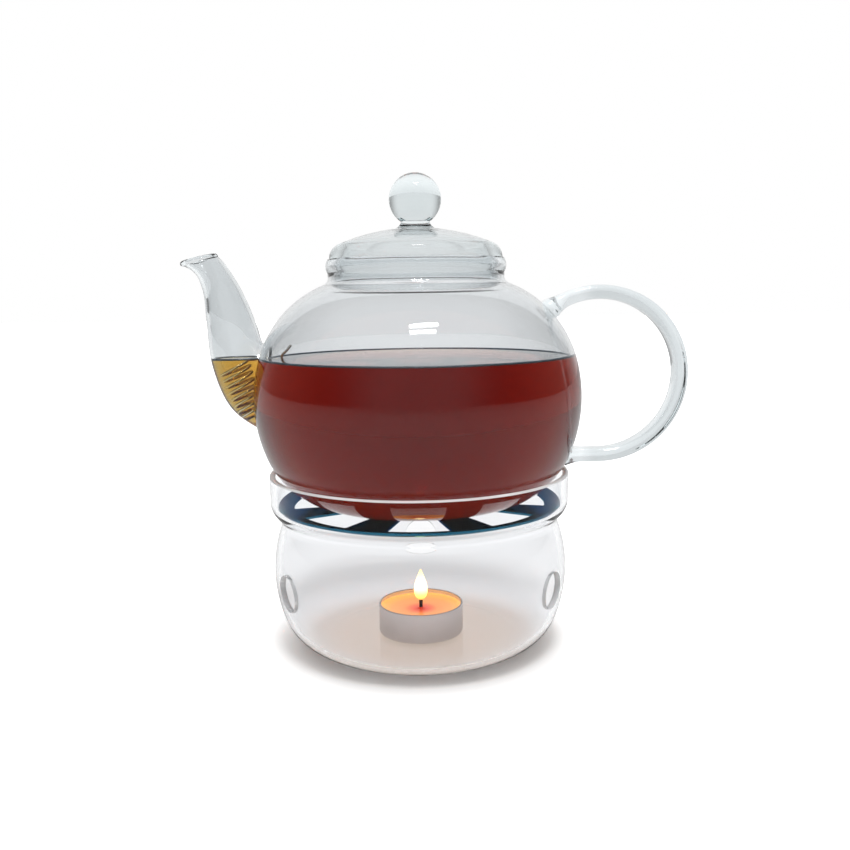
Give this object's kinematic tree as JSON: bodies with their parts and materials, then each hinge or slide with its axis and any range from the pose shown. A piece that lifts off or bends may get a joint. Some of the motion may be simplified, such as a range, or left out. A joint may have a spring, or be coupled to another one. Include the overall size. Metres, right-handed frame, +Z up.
{
  "type": "glass teapot with warmer",
  "caption": "Round glass teapot with spout strainer coil, ball-knob lid and loop handle, standing on a pierced steel plate in a glass tealight warmer.",
  "frame": {"origin": "centre of the warmer's flat base", "axes": "+Z up; +X from the pot's axis to the handle, so the spout points to -X; +Y away from the viewer of the picture"},
  "size_m": [0.2216, 0.144, 0.2077],
  "materials": {
    "warmer_glass": "clear blown borosilicate glass",
    "pot_glass": "clear blown borosilicate glass",
    "lid_glass": "clear blown borosilicate glass",
    "plate_steel": "polished stainless steel",
    "wire_steel": "bright stainless spring wire",
    "cup_aluminium": "thin drawn sheet",
    "wax": "orange candle wax",
    "tinplate": "tinned sheet",
    "wick_cotton": "waxed cotton, charred at the top"
  },
  "bodies": {
    "warmer": {"warmer_bowl": "warmer_glass"},
    "plate": {"support_plate": "plate_steel"},
    "teapot": {"pot_body": "pot_glass", "pot_shoulder": "pot_glass", "spout": "pot_glass", "handle": "pot_glass"},
    "lid": {"lid": "lid_glass", "lid_knob": "lid_glass"},
    "strainer": {"spout_strainer": "wire_steel"},
    "tealight": {"tealight_cup": "cup_aluminium", "tealight_wax": "wax", "wick": "wick_cotton", "wick_sustainer": "tinplate"}
  },
  "joints": [
    {"name": "plate_lift", "type": "slide", "parent": "warmer", "child": "plate", "axis": [0, 0, 1], "range_m": [0, 0.06]},
    {"name": "pot_lift", "type": "slide", "parent": "plate", "child": "teapot", "axis": [0, 0, 1], "range_m": [0, 0.06]},
    {"name": "lid_lift", "type": "slide", "parent": "teapot", "child": "lid", "axis": [0, 0, 1], "range_m": [0, 0.05]},
    {"name": "strainer_pull", "type": "slide", "parent": "teapot", "child": "strainer", "axis": [1, 0, 0], "range_m": [0, 0.045]},
    {"name": "tealight_lift", "type": "slide", "parent": "warmer", "child": "tealight", "axis": [0, 0, 1], "range_m": [0, 0.038]}
  ]
}
